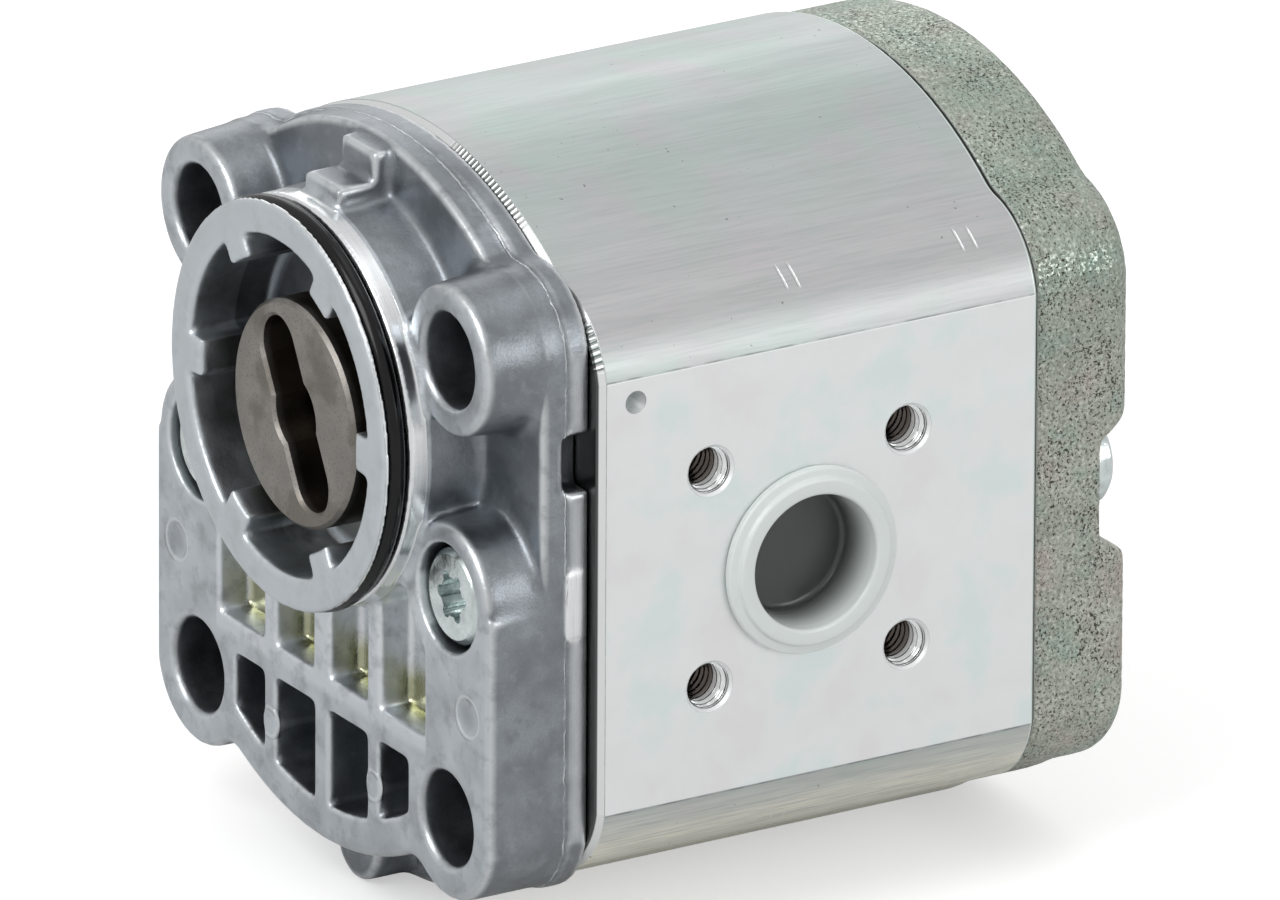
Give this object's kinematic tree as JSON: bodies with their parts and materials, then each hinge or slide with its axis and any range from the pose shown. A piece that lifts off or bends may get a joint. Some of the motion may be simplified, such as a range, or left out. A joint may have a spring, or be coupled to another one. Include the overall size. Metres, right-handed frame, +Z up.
{
  "type": "external gear pump",
  "caption": "External gear pump with an extruded body, a die-cast front cover with round pilot and drive disc, a cast end cover, and flanged side ports closed by plugs.",
  "frame": {"origin": "centre of the four mounting holes, in the mounting plane of the front cover", "axes": "-Y out of the pilot towards the engine, along both gear axes; +X out of the suction port; +Z up, towards the drive shaft's axis"},
  "size_m": [0.0898, 0.0991, 0.0982],
  "materials": {
    "die_cast_aluminium": "as die-cast, dull grey with brighter edges, machined on the pilot",
    "extruded_aluminium": "mill-finish extrusion with fine lengthwise lines, milled port faces",
    "cast_iron": "shot-blasted casting with a speckled grey surface",
    "gear_steel": "ground and case-hardened",
    "sintered_steel": "sintered, matte warm grey",
    "block_aluminium": "machined",
    "bearing_bronze": "rolled bearing strip",
    "seal_rubber": "nitrile rubber",
    "o_ring_rubber": "glossy oiled nitrile rubber",
    "seal_plastic": "PTFE",
    "spring_steel": "spring steel",
    "dowel_steel": "hardened and ground",
    "zinc_plated_steel": "bright zinc plating",
    "plug_polyethylene": "translucent natural polyethylene"
  },
  "bodies": {
    "housing": {"front_cover": "die_cast_aluminium", "pump_body": "extruded_aluminium", "end_cover": "cast_iron", "front_bearing_block": "block_aluminium", "rear_bearing_block": "block_aluminium", "front_drive_bush": "bearing_bronze", "front_driven_bush": "bearing_bronze", "rear_drive_bush": "bearing_bronze", "rear_driven_bush": "bearing_bronze", "shaft_seal": "seal_rubber", "seal_garter_spring": "spring_steel", "seal_retaining_ring": "spring_steel", "pilot_o_ring": "o_ring_rubber", "front_case_seal": "seal_rubber", "rear_case_seal": "seal_rubber", "front_axial_seal": "seal_rubber", "rear_axial_seal": "seal_rubber", "front_seal_support": "seal_plastic", "rear_seal_support": "seal_plastic", "front_dowels": "dowel_steel", "rear_dowels": "dowel_steel", "front_screw_left": "zinc_plated_steel", "front_screw_right": "zinc_plated_steel", "rear_screw_left": "zinc_plated_steel", "rear_screw_right": "zinc_plated_steel"},
    "drive_shaft": {"drive_gear_shaft": "gear_steel"},
    "driven_shaft": {"driven_gear_shaft": "gear_steel"},
    "coupling": {"coupling_disc": "sintered_steel"},
    "suction_cap": {"suction_plug": "plug_polyethylene"},
    "pressure_cap": {"pressure_plug": "plug_polyethylene"}
  },
  "joints": [
    {"name": "drive_spin", "type": "hinge", "parent": "housing", "child": "drive_shaft", "pos_m": [0, 0.044, 0.0155], "axis": [0, 1, 0], "continuous": true},
    {"name": "driven_spin", "type": "hinge", "parent": "housing", "child": "driven_shaft", "pos_m": [0, 0.044, -0.0155], "axis": [0, 1, 0], "continuous": true},
    {"name": "disc_float", "type": "slide", "parent": "drive_shaft", "child": "coupling", "axis": [-0.4695, 0, 0.8829], "range_m": [-0.00195, 0.00485]},
    {"name": "suction_plug_pull", "type": "slide", "parent": "housing", "child": "suction_cap", "axis": [1, 0, 0], "range_m": [0, 0.02]},
    {"name": "pressure_plug_pull", "type": "slide", "parent": "housing", "child": "pressure_cap", "axis": [-1, 0, 0], "range_m": [0, 0.02]}
  ],
  "couplings": [
    {"joint": "driven_spin", "follows": "drive_spin", "ratio": -1}
  ]
}
